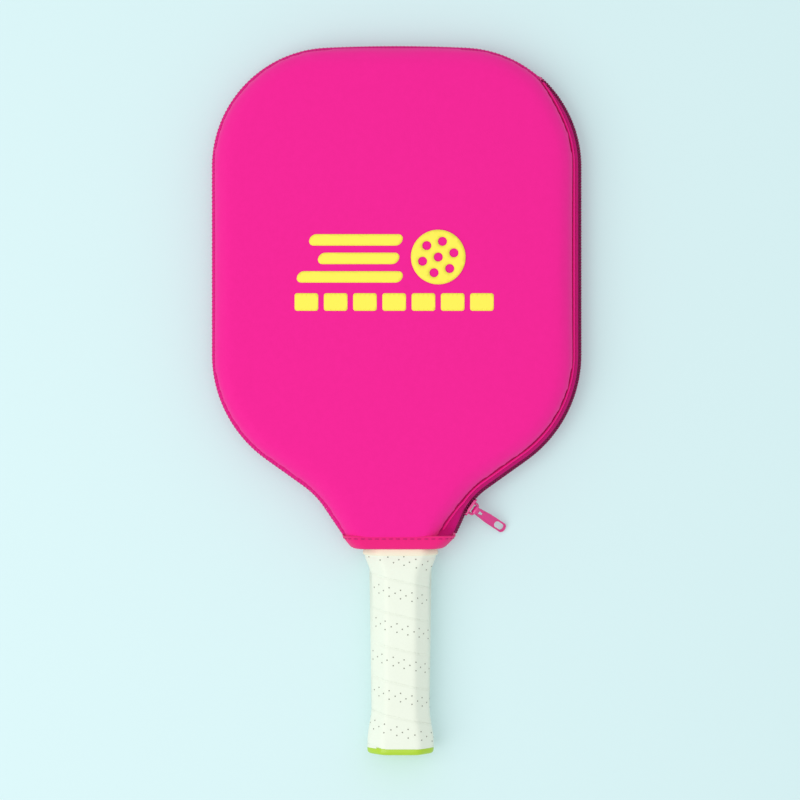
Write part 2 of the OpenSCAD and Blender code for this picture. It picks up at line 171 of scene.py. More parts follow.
def opening(path):
    """How far the two halves of the zip have parted: 0 above the slider, 1 at the hem."""
    return np.clip((slider_y - path[:, 1]) / (slider_y - neck_y), 0, 1) * (path[:, 0] > 0)


def piece(name, verts, faces, finish, smooth=True):
    mesh = bpy.data.meshes.new(name)
    mesh.from_pydata([tuple(map(float, v)) for v in verts], [], [tuple(map(int, f)) for f in faces])
    mesh.update()
    made = bpy.data.objects.new(name, mesh)
    scene.collection.objects.link(made)
    if smooth:
        mesh.shade_smooth()
    mesh.materials.append(finish)
    return made


def outward_faces(made):
    work = bmesh.new()
    work.from_mesh(made.data)
    bmesh.ops.recalc_face_normals(work, faces=work.faces)
    work.to_mesh(made.data)
    work.free()


def keep_rest(made):
    """Stores where each point lies when the case is shut, so that a pattern stays on the cloth."""
    places = np.empty(len(made.data.vertices) * 3, np.float32)
    made.data.vertices.foreach_get("co", places)
    rest = made.data.attributes.new("rest", "FLOAT_VECTOR", "POINT")
    rest.data.foreach_set("vector", places)


def follow_front(made):
    """Cloth of the front: stores where each point lies at rest and writes the piece's place into its mesh."""
    keep_rest(made)
    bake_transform(made)


def add(tree, kind, at=(0, 0), **values):
    """A node with its plain settings, and its inputs by name, in one call."""
    made = tree.nodes.new(kind)
    made.location = at
    for key, value in values.items():
        if hasattr(made, key):
            setattr(made, key, value)
        else:
            made.inputs[key.replace("_", " ")].default_value = value
    return made


def new_material(name, rough, sheen=0.0, metal=0.0, coat=0.0, specular=0.5):
    made = bpy.data.materials.new(name)
    made.use_nodes = True
    shader = made.node_tree.nodes["Principled BSDF"]
    shader.inputs["Roughness"].default_value = rough
    shader.inputs["Sheen Weight"].default_value = sheen
    shader.inputs["Sheen Roughness"].default_value = 0.6
    shader.inputs["Metallic"].default_value = metal
    shader.inputs["Coat Weight"].default_value = coat
    shader.inputs["Specular IOR Level"].default_value = specular
    return made, made.node_tree, shader


def grain_group():
    """A fine grain and a cloudy tone, mixed into a colour, with the grain as a height."""
    group = bpy.data.node_groups.new("cloth_grain", "ShaderNodeTree")
    side = group.interface
    side.new_socket("Vector", in_out="INPUT", socket_type="NodeSocketVector")
    for name, start in (("Grain Scale", 1500.0), ("Cloud Scale", 25.0),
                        ("Grain Tone", 0.12), ("Cloud Tone", 0.1)):
        side.new_socket(name, in_out="INPUT", socket_type="NodeSocketFloat").default_value = start
    side.new_socket("Light", in_out="INPUT", socket_type="NodeSocketColor")
    side.new_socket("Dark", in_out="INPUT", socket_type="NodeSocketColor")
    side.new_socket("Color", in_out="OUTPUT", socket_type="NodeSocketColor")
    side.new_socket("Height", in_out="OUTPUT", socket_type="NodeSocketFloat")
    enter, leave = group.nodes.new("NodeGroupInput"), group.nodes.new("NodeGroupOutput")
    link = group.links.new
    fine = add(group, "ShaderNodeTexNoise", Detail=2.0, Roughness=0.6)
    cloud = add(group, "ShaderNodeTexNoise", Detail=3.0, Roughness=0.55)
    for noise, scale in ((fine, "Grain Scale"), (cloud, "Cloud Scale")):
        link(enter.outputs["Vector"], noise.inputs["Vector"])
        link(enter.outputs[scale], noise.inputs["Scale"])
    fine_part = add(group, "ShaderNodeMath", operation="MULTIPLY")
    cloud_part = add(group, "ShaderNodeMath", operation="MULTIPLY")
    total = add(group, "ShaderNodeMath", operation="ADD", use_clamp=True)
    link(fine.outputs["Fac"], fine_part.inputs[0])
    link(enter.outputs["Grain Tone"], fine_part.inputs[1])
    link(cloud.outputs["Fac"], cloud_part.inputs[0])
    link(enter.outputs["Cloud Tone"], cloud_part.inputs[1])
    link(fine_part.outputs[0], total.inputs[0])
    link(cloud_part.outputs[0], total.inputs[1])
    mix = add(group, "ShaderNodeMix", data_type="RGBA")
    link(total.outputs[0], mix.inputs["Factor"])
    link(enter.outputs["Light"], mix.inputs[6])
    link(enter.outputs["Dark"], mix.inputs[7])
    link(mix.outputs[2], leave.inputs["Color"])
    link(fine.outputs["Fac"], leave.inputs["Height"])
    return group


grain = grain_group()


def grained(name, light, dark, rough, grain_scale, cloud_scale=25.0, tones=(0.12, 0.1), bump=0.3,
            depth=0.1 * MM, from_rest=True, **finish):
    """A material whose colour and relief come from the grain group, read where the cloth lies at rest."""
    made, tree, shader = new_material(name, rough, **finish)
    if from_rest:
        place = add(tree, "ShaderNodeAttribute", attribute_name="rest").outputs["Vector"]
    else:
        place = add(tree, "ShaderNodeTexCoord").outputs["Object"]
    use = add(tree, "ShaderNodeGroup")
    use.node_tree = grain
    use.inputs["Grain Scale"].default_value = grain_scale
    use.inputs["Cloud Scale"].default_value = cloud_scale
    use.inputs["Grain Tone"].default_value = tones[0]
    use.inputs["Cloud Tone"].default_value = tones[1]
    use.inputs["Light"].default_value = (*light, 1)
    use.inputs["Dark"].default_value = (*dark, 1)
    relief = add(tree, "ShaderNodeBump", Strength=bump, Distance=depth)
    tree.links.new(place, use.inputs["Vector"])
    tree.links.new(use.outputs["Color"], shader.inputs["Base Color"])
    tree.links.new(use.outputs["Height"], relief.inputs["Height"])
    tree.links.new(relief.outputs["Normal"], shader.inputs["Normal"])
    return made


jersey = grained("pink_jersey", (0.93, 0.013, 0.315), (0.74, 0.006, 0.22), 0.88, 1100, 260,
                 tones=(0.3, 0.26), bump=0.45, depth=0.12 * MM, sheen=0.1, specular=0.15)

wall = 5 * MM
seam_inset = 4 * MM
seam_rise = 4 * MM
roll_width = 12 * MM
draw_back = 5 * MM


def padded_shell(name, path, inset, finish, flip):
    """Closed padded sheet: a rolled rim along the path and a flat middle, open at the neck."""
    turns = np.radians(np.linspace(0, 90, 7))
    outside = [(seam_inset + roll_width * (1 - math.cos(t)),
                mid_z + seam_rise + (front_z - mid_z - seam_rise) * math.sin(t)) for t in turns]
    flat = seam_inset + roll_width
    inside = [(flat - 2.5 * MM, front_z - wall), (flat - 5.5 * MM, front_z - wall - 0.5 * MM),
              (flat - 7.2 * MM, front_z - wall - 2 * MM), (flat - 7.5 * MM, mid_z + seam_rise)]
    rim = outside + inside
    m, n, k = len(rim), len(path), len(outside) - 1
    verts = []
    for (x, y, nx, ny), back in zip(path, inset):
        for d, z in rim:
            verts.append((x - (d + back) * nx, y - (d + back) * ny, 2 * mid_z - z if flip else z))
    faces = []
    for i in range(n - 1):
        for j in range(m):
            if j != k:
                e = (j + 1) % m
                faces.append((i * m + j, (i + 1) * m + j, (i + 1) * m + e, i * m + e))
    faces.append([i * m + k for i in range(n)])
    faces.append([i * m + k + 1 for i in range(n)][::-1])
    faces.append([k, k + 1, (n - 1) * m + k + 1, (n - 1) * m + k][::-1])
    faces.append(list(range(m)))
    faces.append([(n - 1) * m + j for j in range(m)][::-1])
    made = piece(name, verts, faces, finish)
    work = bmesh.new()
    work.from_mesh(made.data)
    bmesh.ops.triangulate(work, faces=work.faces)
    bmesh.ops.recalc_face_normals(work, faces=work.faces)
    work.to_mesh(made.data)
    work.free()
    return made


def finish_modifiers(made):
    """Bakes the live modifiers into a plain mesh."""
    bpy.context.view_layer.update()
    baked = bpy.data.meshes.new_from_object(made.evaluated_get(bpy.context.evaluated_depsgraph_get()))
    old = made.data
    made.modifiers.clear()
    made.data = baked
    bpy.data.meshes.remove(old)
    made.data.shade_smooth()


def puff(made, cap, pressure=4.0, frames=20):
    """Lets the foam swell a little: an even mesh, a short cloth run with air in it, held to a cap."""
    even = made.modifiers.new("even", "REMESH")
    even.mode = "VOXEL"
    even.voxel_size = 2.4 * MM
    finish_modifiers(made)
    count = len(made.data.vertices)
    start = np.empty(count * 3, np.float32)
    made.data.vertices.foreach_get("co", start)
    cloth = made.modifiers.new("cloth", "CLOTH")
    cloth.settings.use_pressure = True
    cloth.settings.uniform_pressure_force = pressure
    cloth.settings.effector_weights.gravity = 0
    cloth.settings.quality = 3
    cloth.point_cache.frame_end = frames
    for step in range(1, frames + 1):
        scene.frame_set(step)
    posed = made.evaluated_get(bpy.context.evaluated_depsgraph_get())
    moved = np.empty(count * 3, np.float32)
    posed.data.vertices.foreach_get("co", moved)
    made.modifiers.clear()
    scene.frame_set(1)
    shift = (moved - start).reshape(-1, 3)
    length = np.linalg.norm(shift, axis=1, keepdims=True)
    shift *= np.minimum(1, cap / np.maximum(length, 1e-9))
    made.data.vertices.foreach_set("co", (start.reshape(-1, 3) + shift).ravel())
    made.data.update()
    soft = made.modifiers.new("soft", "SMOOTH")
    soft.factor = 0.5
    soft.iterations = 2
    finer = made.modifiers.new("finer", "SUBSURF")
    finer.levels = 1
    finer.render_levels = 1
    finish_modifiers(made)


back_inset = np.concatenate([np.zeros(len(zip_path)), np.full(len(sewn_path) - 1, -1.5 * MM)])
back = padded_shell("back_padding", padding_path, back_inset, jersey, True)
foam_swell = 0.5 * MM
puff(back, foam_swell)
# Its middle is pressed flat by the table.
table_gap = 0.02 * MM
for vert in back.data.vertices:
    vert.co.z = max(vert.co.z, table_gap)
keep_rest(back)
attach(back, "root")
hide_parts("back_panel")

# ---------------------------------------------------------------------------
# Front of the case: the same foam and jersey. On the case its sewn side stays put while the zipped
# side folds open; here it is one unfolded sheet that stands for both of the solid halves. Near the
# hem its edge draws back from the zip and leaves the tape showing.
# ---------------------------------------------------------------------------
piping_room = 0.1 * MM
sewn_reach = -2.7 * MM
run_out = 32 * MM
to_end = np.clip(np.arange(len(zip_path))[::-1] * path_step / run_out, 0, 1)
zip_step = piping_room + (sewn_reach - piping_room) * (1 - to_end) ** 2
front_inset = draw_back * opening(whole_path)
front_inset += np.concatenate([zip_step, np.full(len(sewn_path) - 1, sewn_reach)])
front = padded_shell("front_padding", padding_path, front_inset, jersey, False)
puff(front, foam_swell)
follow_front(front)
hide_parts("front_panel", "front_flap")

# ---------------------------------------------------------------------------
# Printed mark: a thick soft yellow screen print on the front, a holed ball with speed bars beside
# it and a row of blocks below. It is a film a fifth of a millimetre thick, draped on the jersey.
# ---------------------------------------------------------------------------
ink = grained("yellow_ink", (1.0, 0.88, 0.085), (0.93, 0.76, 0.05), 0.55, 1500, 40,
              tones=(0.3, 0.15), bump=0.25, depth=0.1 * MM, specular=0.35)
ink_thickness = 0.2 * MM


def rounded_bar(x0, x1, y0, y1, radius, slant=0.0):
    """Outline of a bar with round corners, leaning to the right by slant for each unit of height."""
    points = []
    corners = ((x1 - radius, y1 - radius, 0), (x0 + radius, y1 - radius, 90),
               (x0 + radius, y0 + radius, 180), (x1 - radius, y0 + radius, 270))
    for cx, cy, first in corners:
        for angle in np.radians(np.linspace(first, first + 90, 6)):
            x, y = cx + radius * math.cos(angle), cy + radius * math.sin(angle)
            points.append((x + slant * (y - y0), y))
    return points


def circle(cx, cy, radius, count=48):
    return [(cx + radius * math.cos(2 * math.pi * i / count), cy + radius * math.sin(2 * math.pi * i / count))
            for i in range(count)]


ball = (24 * MM, 22 * MM)
ball_radius = 15.5 * MM
hole_ring = 9.2 * MM
hole_radius = 2.6 * MM
shapes = [[circle(*ball, ball_radius, 72), circle(*ball, hole_radius, 20)]]
for spot in range(6):
    turn = math.radians(60 * spot + 15)
    shapes[0].append(circle(ball[0] + hole_ring * math.cos(turn), ball[1] + hole_ring * math.sin(turn),
                            hole_radius, 20))
for row, (left, right) in enumerate(((-57, 3), (-45, 1), (-50, 3))):
    base = (7.5 + 10.5 * row) * MM
    shapes.append([rounded_bar(left * MM, right * MM, base, base + 6.5 * MM, 3.2 * MM, 0.25)])
for block in range(7):
    left = (-57.5 + 16.6 * block) * MM
    shapes.append([rounded_bar(left, left + 13.4 * MM, -8.5 * MM, 1.5 * MM, 1.4 * MM)])


def surface_above(source, x, y):
    """Height of a piece's upper face at a place in plan."""
    hit, place, normal, index = source.ray_cast((x, y, 1.0), (0, 0, -1))
    return place[2] if hit else front_z


mark_mesh = bmesh.new()
for outlines in shapes:
    edges = []
    for outline in outlines:
        ring = [mark_mesh.verts.new((x, y, 0)) for x, y in outline]
        edges += [mark_mesh.edges.new((ring[i], ring[(i + 1) % len(ring)])) for i in range(len(ring))]
    bmesh.ops.triangle_fill(mark_mesh, use_beauty=True, use_dissolve=False, edges=edges)
for limit in (8 * MM, 4 * MM, 3 * MM):
    long_edges = [e for e in mark_mesh.edges if e.calc_length() > limit]
    bmesh.ops.subdivide_edges(mark_mesh, edges=long_edges, cuts=1)
    bmesh.ops.triangulate(mark_mesh, faces=mark_mesh.faces)
bmesh.ops.recalc_face_normals(mark_mesh, faces=mark_mesh.faces)
if sum(f.normal.z for f in mark_mesh.faces) < 0:
    bmesh.ops.reverse_faces(mark_mesh, faces=mark_mesh.faces)
mark_verts = [tuple(v.co) for v in mark_mesh.verts]
mark_index = {v: i for i, v in enumerate(mark_mesh.verts)}
mark_faces = [[mark_index[v] for v in f.verts] for f in mark_mesh.faces]
mark_mesh.free()
mark = piece("printed_mark_film", mark_verts, mark_faces, ink)
for vert in mark.data.vertices:
    vert.co.z = surface_above(front, vert.co.x, vert.co.y) + ink_thickness
film = mark.modifiers.new("film", "SOLIDIFY")
film.thickness = ink_thickness + 0.1 * MM
film.offset = -1
finish_modifiers(mark)
follow_front(mark)
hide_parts("printed_mark", "printed_mark_flap")

# ---------------------------------------------------------------------------
# Sewn edge: from the end of the zip over the top and down the plain side, the front and the back
# are laid edge to edge and overlocked. A narrow roll of the jersey shows with the thread over it;
# its jersey is coloured darker than on the faces, which is painted shade along the seam.
# ---------------------------------------------------------------------------
# The roll's cloth is the pink jersey made darker: painted shade of the seam's crease.
seam_cloth_painted_shade = grained("seam_cloth_painted_shade", (0.82, 0.012, 0.26), (0.55, 0.006, 0.16), 0.88, 1500, 60,
                     tones=(0.3, 0.2), bump=0.4, depth=0.12 * MM, sheen=0.05, specular=0.1)
thread = grained("pink_thread", (0.66, 0.009, 0.20), (0.38, 0.004, 0.11), 0.65, 3000, 300,
                 tones=(0.3, 0.2), bump=0.3, depth=0.05 * MM, sheen=0.05, specular=0.2)


def swept(name, path, sections, finish):
    """Closed tube: each station's section is a ring of (distance inward, height)."""
    n, m = len(path), len(sections[0])
    verts = [(x - d * nx, y - d * ny, z) for (x, y, nx, ny), ring in zip(path, sections) for d, z in ring]
    faces = [(i * m + j, (i + 1) * m + j, (i + 1) * m + (j + 1) % m, i * m + (j + 1) % m)
             for i in range(n - 1) for j in range(m)]
    faces += [list(range(m)), [(n - 1) * m + j for j in range(m)][::-1]]
    made = piece(name, verts, faces, finish)
    outward_faces(made)
    return made


def ring_section(d, z, across, up, count=12, tilt=0.0):
    """An ellipse in the section plane, about a point at distance d inward and height z."""
    ring = []
    for i in range(count):
        a = 2 * math.pi * i / count
        u, w = across * math.cos(a), up * math.sin(a)
        ring.append((d + u * math.cos(tilt) - w * math.sin(tilt),
                     z + u * math.sin(tilt) + w * math.cos(tilt)))
    return ring


def along(path):
    """Distance along a path at each of its points."""
    return np.concatenate([[0], np.cumsum(np.linalg.norm(np.diff(path[:, :2], axis=0), axis=1))])


def spaced(path, pitch, first=0.0):
    """Points every pitch along a path, with unit normals."""
    length = along(path)
    places = np.arange(first, length[-1], pitch)
    rows = np.column_stack([np.interp(places, length, path[:, c]) for c in range(4)])
    rows[:, 2:] /= np.linalg.norm(rows[:, 2:], axis=1, keepdims=True)
    return rows


roll_sections = [[(6.5 * MM, mid_z - 3.4 * MM), (4.2 * MM, mid_z - 4.4 * MM), (1.4 * MM, mid_z - 3.8 * MM),
                  (0.4 * MM, mid_z - 1.8 * MM), (0.15 * MM, mid_z), (0.4 * MM, mid_z + 1.8 * MM),
                  (1.4 * MM, mid_z + 3.8 * MM), (4.2 * MM, mid_z + 4.4 * MM), (6.5 * MM, mid_z + 3.4 * MM)]
                 ] * len(sewn_path)
roll = swept("seam_roll", sewn_path, roll_sections, seam_cloth_painted_shade)
keep_rest(roll)
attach(roll, "root")
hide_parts("edge_seam")


def instances_on(name, seeds, master, finish):
    """Geometry Nodes: copies of the master on each seed point, turned by the seed's own angles."""
    holder = bpy.data.meshes.new(name)
    holder.from_pydata([tuple(map(float, s[:3])) for s in seeds], [], [])
    turns = holder.attributes.new("turn", "FLOAT_VECTOR", "POINT")
    turns.data.foreach_set("vector", np.array([s[3:6] for s in seeds], np.float32).ravel())
    made = bpy.data.objects.new(name, holder)
    scene.collection.objects.link(made)
    tree = bpy.data.node_groups.new(name + "_nodes", "GeometryNodeTree")
    side = tree.interface
    side.new_socket("Geometry", in_out="INPUT", socket_type="NodeSocketGeometry")
    size = side.new_socket("Size", in_out="INPUT", socket_type="NodeSocketFloat")
    side.new_socket("Geometry", in_out="OUTPUT", socket_type="NodeSocketGeometry")
    enter, leave = tree.nodes.new("NodeGroupInput"), tree.nodes.new("NodeGroupOutput")
    turn = tree.nodes.new("GeometryNodeInputNamedAttribute")
    turn.data_type = "FLOAT_VECTOR"
    turn.inputs["Name"].default_value = "turn"
    source = tree.nodes.new("GeometryNodeObjectInfo")
    source.inputs["Object"].default_value = master
    put = tree.nodes.new("GeometryNodeInstanceOnPoints")
    real = tree.nodes.new("GeometryNodeRealizeInstances")
    coat = tree.nodes.new("GeometryNodeSetMaterial")
    coat.inputs["Material"].default_value = finish
    link = tree.links.new
    link(enter.outputs["Geometry"], put.inputs["Points"])
    link(source.outputs["Geometry"], put.inputs["Instance"])
    link(turn.outputs["Attribute"], put.inputs["Rotation"])
    link(enter.outputs["Size"], put.inputs["Scale"])
    link(put.outputs["Instances"], real.inputs["Geometry"])
    link(real.outputs["Geometry"], coat.inputs["Geometry"])
    link(coat.outputs["Geometry"], leave.inputs["Geometry"])
    maker = made.modifiers.new("maker", "NODES")
    maker.node_group = tree
    maker[size.identifier] = 1.0
    finish_modifiers(made)
    made.data.materials.clear()
    made.data.materials.append(finish)
    bpy.data.objects.remove(master)
    return made


def bent_rod(name, points, radius, sides=5, ends=0.6):
    """A short rod through a few points, thinner at its ends, as the master of a stitch or a tooth."""
    points = np.array(points, float)
    tangents = np.gradient(points, axis=0)
    verts, faces = [], []
    for i, (p, t) in enumerate(zip(points, tangents)):
        t = t / np.linalg.norm(t)
        u = np.cross(t, (0.31, 0.82, 0.48))
        u /= np.linalg.norm(u)
        w = np.cross(t, u)
        r = radius * (ends if i in (0, len(points) - 1) else 1)
        for s in range(sides):
            a = 2 * math.pi * s / sides
            verts.append(p + r * (math.cos(a) * u + math.sin(a) * w))
    for i in range(len(points) - 1):
        for s in range(sides):
            e = (s + 1) % sides
            faces.append((i * sides + s, i * sides + e, (i + 1) * sides + e, (i + 1) * sides + s))
    faces += [list(range(sides))[::-1], [(len(points) - 1) * sides + s for s in range(sides)]]
    return piece(name, verts, faces, thread)


# Overlock loops: slanting stitches over the roll, from the front edge to the back edge.
loop_pitch = 2.2 * MM
loop_points = []
for step in range(9):
    a = math.radians(-80 + 20 * step)
    loop_points.append((0.9 * MM * step / 8 - 0.45 * MM, 2.3 * MM * math.cos(a), 4.1 * MM * math.sin(a)))
loop = bent_rod("overlock_loop", loop_points, 0.22 * MM)
loop_rows = spaced(sewn_path, loop_pitch, 1.5 * MM)
loop_seeds = [(x - 2.4 * MM * nx, y - 2.4 * MM * ny, mid_z, 0, 0, math.atan2(ny, nx) - math.pi / 2)
              for x, y, nx, ny in loop_rows]
overlock = instances_on("overlock_thread", loop_seeds, loop, thread)
keep_rest(overlock)
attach(overlock, "root")

# ---------------------------------------------------------------------------
# Hem: a folded knit tape bound round the raw edge of the mouth and topstitched. The front length
# goes with the front's sheet; the back length wraps round the plain side and under the back.
# ---------------------------------------------------------------------------
hem_cloth = grained("hem_tape", (0.90, 0.014, 0.22), (0.62, 0.006, 0.13), 0.85, 1600, 60,
                    tones=(0.28, 0.15), bump=0.4, depth=0.12 * MM, sheen=0.12, specular=0.15)
hem_height = 6 * MM
hem_y = neck_y - hem_height
hem_edges = {"zipped": (33 * MM, 27 * MM), "sewn": (29.7 * MM, 24.8 * MM)}
hem_round = (9 * MM, 10.9 * MM)
hem_top = front_z + 0.4 * MM


def hem_quarter(side, lower, down, first, last):
    """The rounded side of the mouth at a share of the way down the hem, as (x, z) points."""
    edge = hem_edges[side][0] + down * (hem_edges[side][1] - hem_edges[side][0])
    turns = np.radians(np.linspace(first, last, 10))
    x = edge - hem_round[0] * (1 - np.sin(turns))
    z = (hem_top - hem_round[1]) + hem_round[1] * np.cos(turns)
    return np.column_stack([x if side == "zipped" else -x, 2 * mid_z - z if lower else z])


def hem_line(front_side, down):
    """One face of the hem across the mouth: over the front, or round the plain side and under the back."""
    if front_side:
        left = hem_quarter("sewn", False, down, 90, 0)
        right = hem_quarter("zipped", False, down, 0, 90)
        level = hem_top
    else:
        left = hem_quarter("sewn", True, down, 90, 0)
        right = hem_quarter("zipped", True, down, 0, 90)
        level = 2 * mid_z - hem_top
    flat = np.column_stack([np.linspace(left[-1, 0], right[0, 0], 24), np.full(24, level)])[1:-1]
    side = [left, flat, right] if front_side else [[(left[0, 0], hem_top - hem_round[1])], left, flat, right]
    return np.concatenate(side)


def outward(line, front_side):
    run = np.gradient(line, axis=0)
    normal = np.column_stack([-run[:, 1], run[:, 0]]) * (1 if front_side else -1)
    return normal / np.maximum(np.linalg.norm(normal, axis=1, keepdims=True), 1e-9)


# The tape's section, as (share of the way down, millimetres out of the hem's face)
hem_section = [(-0.27, -1.2), (-0.25, -0.3), (-0.18, 0.1), (-0.1, 0.18), (0.0, 0.05), (0.1, 0.28),
               (0.5, 0.4), (0.82, 0.2), (0.95, -0.6), (1.0, -1.7), (1.0, -3.2), (0.93, -4.3),
               (0.8, -5.0), (0.3, -5.1), (0.0, -4.9)]


def hem_band(name, front_side):
    rows = []
    for down, out in hem_section:
        line = hem_line(front_side, down)
        points = line + outward(line, front_side) * out * MM
        rows.append([(x, neck_y - down * hem_height, max(z, 0.02 * MM)) for x, z in points])
    m, n = len(rows), len(rows[0])
    verts = [rows[j][i] for i in range(n) for j in range(m)]
    faces = [(i * m + j, (i + 1) * m + j, (i + 1) * m + (j + 1) % m, i * m + (j + 1) % m)
             for i in range(n - 1) for j in range(m)]
    faces += [list(range(m)), [(n - 1) * m + j for j in range(m)][::-1]]
    made = piece(name, verts, faces, hem_cloth)
    outward_faces(made)
    return made


def hem_stitches(name, front_side):
    """Seeds of the dashes along the hem's upper edge, lying on its face."""
    line = hem_line(front_side, 0.0)
    tilt = outward(line, front_side)
    length = np.concatenate([[0], np.cumsum(np.linalg.norm(np.diff(line, axis=0), axis=1))])
    seeds = []
    stitch_pitch = 4 * MM
    for place in np.arange(1.5 * MM, length[-1] - 1 * MM, stitch_pitch):
        x, z = (np.interp(place, length, line[:, c]) for c in (0, 1))
        nx, nz = (np.interp(place, length, tilt[:, c]) for c in (0, 1))
        turn = math.atan2(nx, nz)
        seeds.append((x + 0.25 * MM * nx, neck_y, max(z + 0.25 * MM * nz, 0.3 * MM), 0, turn, 0))
    dash_points = [(-1.2 * MM, 0, -0.3 * MM), (-0.8 * MM, 0, 0.02 * MM),
                   (0.8 * MM, 0, 0.02 * MM), (1.2 * MM, 0, -0.3 * MM)]
    dash = bent_rod(name + "_dash", dash_points, 0.3 * MM)
    return instances_on(name, seeds, dash, thread)


for front_side, word, node in ((True, "front", "hem_front"), (False, "back", "hem_back")):
    hem = hem_band(word + "_hem_tape", front_side)
    stitches = hem_stitches(word + "_hem_topstitch", front_side)
    for made in (hem, stitches):
        if front_side:
            follow_front(made)
        else:
            keep_rest(made)
            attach(made, "root")
    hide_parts(node)

# ---------------------------------------------------------------------------
# Zip tapes: woven polyester, one sewn under the rim of each padded half. On the front the jersey is
# rolled over the tape's edge as a bright piping, with a row of stitches beside it.
# ---------------------------------------------------------------------------
weave = grained("woven_zip_tape", (0.70, 0.004, 0.21), (0.32, 0.001, 0.09), 0.8, 2600, 120,
                tones=(0.6, 0.2), bump=0.8, depth=0.15 * MM, sheen=0.03, specular=0.12)
piping_cloth = grained("piping", (0.95, 0.006, 0.28), (0.72, 0.003, 0.18), 0.75, 1800, 80,
                       tones=(0.3, 0.15), bump=0.3, depth=0.08 * MM, sheen=0.08, specular=0.15)
coil_lift = 1.5 * MM
zip_open = opening(zip_path)


def upside_down(sections):
    return [[(d, 2 * mid_z - z) for d, z in ring] for ring in sections]


def strip_section(points, thickness):
    """A thin strip along a line of (distance inward, height) points, as a closed ring."""
    line = np.array(points)
    run = np.gradient(line, axis=0)
    across = np.column_stack([-run[:, 1], run[:, 0]]) / np.linalg.norm(run, axis=1, keepdims=True)
    over, under = line + across * thickness / 2, line - across * thickness / 2
    return [tuple(p) for p in over] + [tuple(p) for p in under[::-1]]


def tape_section(parted, step_in):
    """From the coil up round to the seam under the padding."""
    reach = step_in + draw_back * parted
    low = mid_z + 1.2 * MM + coil_lift * parted
    high = mid_z + seam_rise - 0.4 * MM
    level = low + 0.75 * (high - low)
    bend, end = 1.95 * MM, 6.4 * MM + reach
    return strip_section([(1.45 * MM, low), (1.6 * MM, low + 0.5 * (level - low)), (bend, level),
                          (bend + 0.2 * (end - bend), high - 0.15 * MM), (bend + 0.45 * (end - bend), high),
                          (bend + 0.72 * (end - bend), high + 0.5 * MM), (end, high + 1.4 * MM)], 0.55 * MM)


front_sections = [tape_section(parted, step) for parted, step in zip(zip_open, zip_step)]
front_tape = swept("front_zip_tape", zip_path, front_sections, weave)
back_tape = swept("back_zip_tape", zip_path, upside_down([tape_section(p, 0) for p in zip_open]), weave)
follow_front(front_tape)
keep_rest(back_tape)
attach(back_tape, "root")
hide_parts("zip_tape_front")
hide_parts("zip_tape_back")
piping_d = seam_inset + zip_step + draw_back * zip_open - 0.1 * MM
piping_sections = [ring_section(d, mid_z + seam_rise + 0.4 * MM, 0.65 * MM, 0.7 * MM) for d in piping_d[:-2]]
piping = swept("front_piping", zip_path[:-2], piping_sections, piping_cloth)
follow_front(piping)
tape_stitch_pitch = 2.8 * MM
tape_rows = spaced(zip_path, tape_stitch_pitch, 2 * MM)
tape_places = np.arange(2 * MM, along(zip_path)[-1], tape_stitch_pitch)
tape_d = np.interp(tape_places, along(zip_path), piping_d) - 1.1 * MM
tape_dash = bent_rod("tape_dash", [(-0.8 * MM, 0, -0.2 * MM), (-0.5 * MM, 0, 0.05 * MM),
                                   (0.5 * MM, 0, 0.05 * MM), (0.8 * MM, 0, -0.2 * MM)], 0.2 * MM)
tape_seeds = [(x - d * nx, y - d * ny, mid_z + seam_rise - 0.05 * MM, 0, 0, math.atan2(ny, nx) - math.pi / 2)
              for (x, y, nx, ny), d in zip(tape_rows, tape_d)]
tape_stitches = instances_on("front_tape_stitches", tape_seeds, tape_dash, thread)
follow_front(tape_stitches)
# The front tape's lower end is folded up and caught in the hem, which closes the corner of the mouth.
tail_path = np.concatenate([zip_path[:1] - (0, 2 * MM, 0, 0), zip_path[:6]])
tail_low = mid_z + 1.1 * MM + coil_lift
tail_sections = []
for rise in (1.0, 1.0, 0.8, 0.55, 0.32, 0.14, 0.03):
    crest = [(1.7, 1.0), (2.0, 3.0), (3.2, 5.0), (6.0, 6.6), (9.3, 6.8), (12.0, 6.0)]
    tail_sections.append([(1.7 * MM, tail_low - 0.2 * MM)]
                         + [(d * MM, tail_low + (0.1 + up * rise) * MM) for d, up in crest]
                         + [(12.0 * MM, tail_low - 0.2 * MM)])
tape_tail = swept("front_tape_tail", tail_path, tail_sections, weave)
follow_front(tape_tail)

